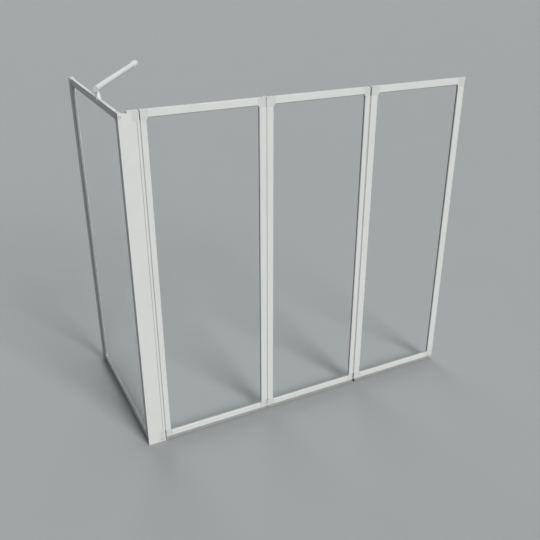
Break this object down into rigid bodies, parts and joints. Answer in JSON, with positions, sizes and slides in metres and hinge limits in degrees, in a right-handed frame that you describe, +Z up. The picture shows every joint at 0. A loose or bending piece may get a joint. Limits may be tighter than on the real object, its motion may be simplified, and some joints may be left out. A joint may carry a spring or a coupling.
{
  "type": "folding bath screen",
  "caption": "Bath screen of hinged glazed panels in slim white frames, with a fixed side panel, a corner post and a stabiliser bar to the wall.",
  "frame": {"origin": "centre of the corner post's foot, on the bath rim", "axes": "+X along the folding panels away from the corner post, +Y towards the wall that carries the side panel, +Z up"},
  "size_m": [1.3121, 0.6602, 1.2545],
  "materials": {
    "white_frame": "white powder coat on aluminium, satin",
    "white_plastic": "moulded, satin",
    "clear_glass": "clear float glass",
    "grey_seal": "soft extruded seal, matt",
    "pale_seal": "soft extruded strip, matt",
    "steel": "stainless, machined",
    "black_rubber": "moulded, matt"
  },
  "bodies": {
    "fixed_frame": {"wall_profile": "white_frame", "side_top_rail": "white_frame", "side_bottom_rail": "white_frame", "side_stile_at_wall": "white_frame", "side_stile_at_post": "white_frame", "corner_post": "white_frame", "stabiliser_bar": "white_frame", "bar_clamp": "white_frame", "bar_wall_socket": "white_frame", "wall_profile_cap": "white_plastic", "side_corner_blocks": "white_plastic", "post_top_cap": "white_plastic", "post_foot": "white_plastic", "post_hinge_blocks": "white_plastic", "post_cover_caps": "white_plastic", "bar_end_cap": "white_plastic", "side_glass": "clear_glass", "side_gaskets": "grey_seal", "side_drip_seal": "grey_seal", "wall_profile_screws": "steel", "post_screws": "steel", "clamp_screw": "steel", "bar_screw": "steel", "hinge_1_pins": "steel"},
    "panel_1": {"panel_1_top_rail": "white_frame", "panel_1_bottom_rail": "white_frame", "panel_1_left_stile": "white_frame", "panel_1_right_stile": "white_frame", "panel_1_corner_blocks": "white_plastic", "panel_1_glass": "clear_glass", "panel_1_gaskets": "grey_seal", "panel_1_drip_seal": "grey_seal", "panel_1_gap_seal": "pale_seal", "hinge_2_pins": "steel"},
    "panel_2": {"panel_2_top_rail": "white_frame", "panel_2_bottom_rail": "white_frame", "panel_2_left_stile": "white_frame", "panel_2_right_stile": "white_frame", "panel_2_corner_blocks": "white_plastic", "panel_2_glass": "clear_glass", "panel_2_gaskets": "grey_seal", "panel_2_drip_seal": "grey_seal", "panel_2_gap_seal": "pale_seal", "hinge_3_pins": "steel"},
    "panel_3": {"panel_3_top_rail": "white_frame", "panel_3_bottom_rail": "white_frame", "panel_3_left_stile": "white_frame", "panel_3_right_stile": "white_frame", "panel_3_corner_blocks": "white_plastic", "panel_3_glass": "clear_glass", "panel_3_gaskets": "grey_seal", "panel_3_drip_seal": "grey_seal", "panel_3_gap_seal": "pale_seal", "panel_3_end_buffer": "white_plastic", "panel_3_hinge_foot": "black_rubber", "panel_3_end_foot": "white_plastic"}
  },
  "joints": [
    {"name": "post_hinge", "type": "hinge", "parent": "fixed_frame", "child": "panel_1", "pos_m": [0.0335, 0.0091, 0], "axis": [0, 0, 1], "range_deg": [0, 90]},
    {"name": "middle_hinge", "type": "hinge", "parent": "panel_1", "child": "panel_2", "pos_m": [0.45, -0.0091, 0], "axis": [0, 0, 1], "range_deg": [-180, 0]},
    {"name": "end_hinge", "type": "hinge", "parent": "panel_2", "child": "panel_3", "pos_m": [0.849, 0.0091, 0], "axis": [0, 0, 1], "range_deg": [0, 180]}
  ]
}
